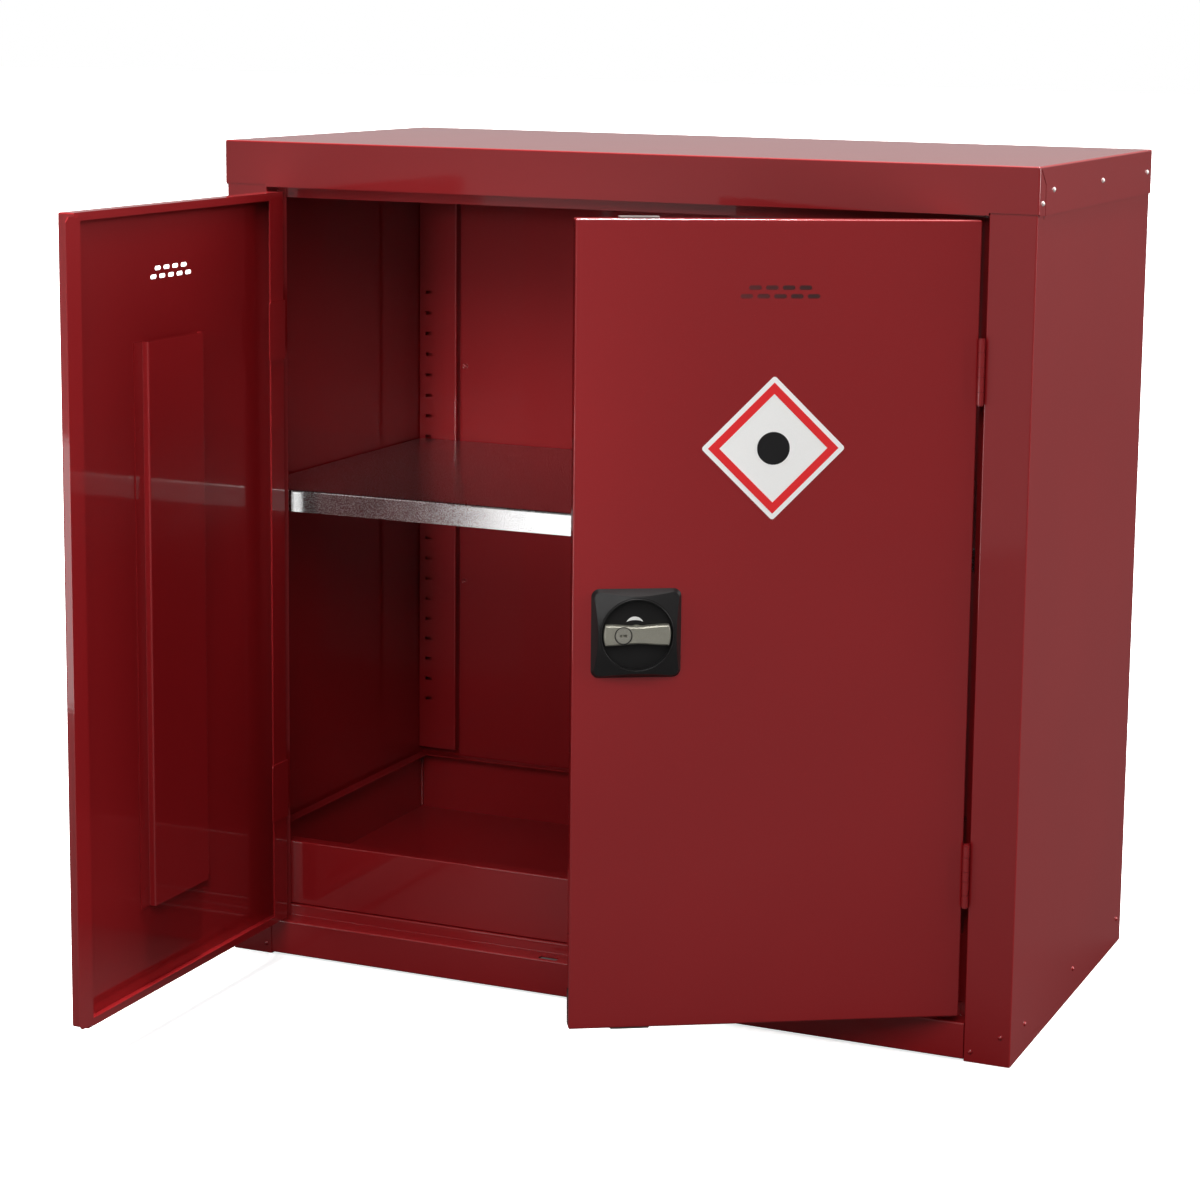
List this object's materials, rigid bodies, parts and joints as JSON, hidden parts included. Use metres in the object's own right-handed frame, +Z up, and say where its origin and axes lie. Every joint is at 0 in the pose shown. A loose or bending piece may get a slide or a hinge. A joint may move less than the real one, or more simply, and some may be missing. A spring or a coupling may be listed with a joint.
{
  "type": "flammable storage cabinet",
  "caption": "Low folded-steel cabinet with two hinged doors, a rod lock in the right door, a galvanised shelf on slotted uprights and a leak tray.",
  "frame": {"origin": "on the floor under the middle of the carcass", "axes": "+X to the right seen from the front, +Y to the back, +Z up"},
  "size_m": [0.9038, 0.8751, 0.9],
  "materials": {
    "red_powder_coat": "glossy powder coat with fine orange peel",
    "bright_rivet": "bright domed heads",
    "zinc_clip": "bright zinc plate",
    "galvanised_sheet": "galvanised with a soft spangle",
    "label_white": "smooth printed vinyl",
    "label_red": "smooth printed vinyl",
    "label_black": "smooth printed vinyl",
    "lock_black": "satin moulded plastic",
    "indicator_white": "smooth",
    "nickel_handle": "satin nickel with bright bevels",
    "nickel_key": "satin turned face",
    "zinc_plate": "zinc plated",
    "guide_grey": "moulded plastic"
  },
  "bodies": {
    "carcass": {"top_cap": "red_powder_coat", "cap_rivets": "bright_rivet", "right_side_panel": "red_powder_coat", "left_side_panel": "red_powder_coat", "back_panel": "red_powder_coat", "header_rail": "red_powder_coat", "base_panel": "red_powder_coat", "base_frame": "red_powder_coat", "base_rivets": "red_powder_coat", "right_rear_upright": "red_powder_coat", "left_rear_upright": "red_powder_coat", "right_front_upright": "red_powder_coat", "left_front_upright": "red_powder_coat", "sump_tray": "red_powder_coat", "shelf_clips": "zinc_clip", "right_hinge_frame_leaves": "red_powder_coat", "left_hinge_frame_leaves": "red_powder_coat", "right_hinge_pins": "red_powder_coat", "left_hinge_pins": "red_powder_coat"},
    "shelf": {"shelf": "galvanised_sheet"},
    "left_door": {"left_door_skin": "red_powder_coat", "left_door_stiffener": "red_powder_coat", "left_hinge_door_leaves": "red_powder_coat"},
    "right_door": {"right_door_skin": "red_powder_coat", "right_door_stiffener": "red_powder_coat", "right_hinge_door_leaves": "red_powder_coat", "label_plate": "label_white", "label_border": "label_red", "label_mark": "label_black", "lock_escutcheon": "lock_black", "lock_case": "zinc_plate", "lock_screws": "zinc_plate", "lock_indicator": "indicator_white", "upper_rod_guide": "guide_grey", "lower_rod_guide": "guide_grey", "rod_straps": "zinc_plate"},
    "lock_handle": {"lock_handle": "nickel_handle", "lock_spindle": "zinc_plate", "lock_cam": "zinc_plate"},
    "key_plug": {"key_plug": "nickel_key"},
    "upper_rod": {"upper_rod": "zinc_plate"},
    "lower_rod": {"lower_rod": "zinc_plate"}
  },
  "joints": [
    {"name": "shelf_lift", "type": "slide", "parent": "carcass", "child": "shelf", "axis": [0, 0, 1], "range_m": [0, 0.02]},
    {"name": "left_door_hinge", "type": "hinge", "parent": "carcass", "child": "left_door", "pos_m": [-0.3983, -0.234, 0.447], "axis": [0, 0, 1], "range_deg": [-20.5, 89.5]},
    {"name": "right_door_hinge", "type": "hinge", "parent": "carcass", "child": "right_door", "pos_m": [0.3983, -0.234, 0.447], "axis": [0, 0, 1], "range_deg": [-30.6, 79.4]},
    {"name": "handle_turn", "type": "hinge", "parent": "right_door", "child": "lock_handle", "pos_m": [0.11098, -0.40392, 0.446], "axis": [-0.509, 0.8607, 0], "range_deg": [0, 90]},
    {"name": "key_turn", "type": "hinge", "parent": "lock_handle", "child": "key_plug", "pos_m": [0.10326, -0.41778, 0.446], "axis": [-0.509, 0.8607, 0], "range_deg": [0, 90]},
    {"name": "upper_rod_slide", "type": "slide", "parent": "right_door", "child": "upper_rod", "axis": [0, 0, 1], "range_m": [0, 0.014]},
    {"name": "lower_rod_slide", "type": "slide", "parent": "right_door", "child": "lower_rod", "axis": [0, 0, -1], "range_m": [0, 0.014]}
  ],
  "couplings": [
    {"joint": "upper_rod_slide", "follows": "handle_turn", "m_per_rad": 0.0089},
    {"joint": "lower_rod_slide", "follows": "handle_turn", "m_per_rad": 0.0089}
  ]
}
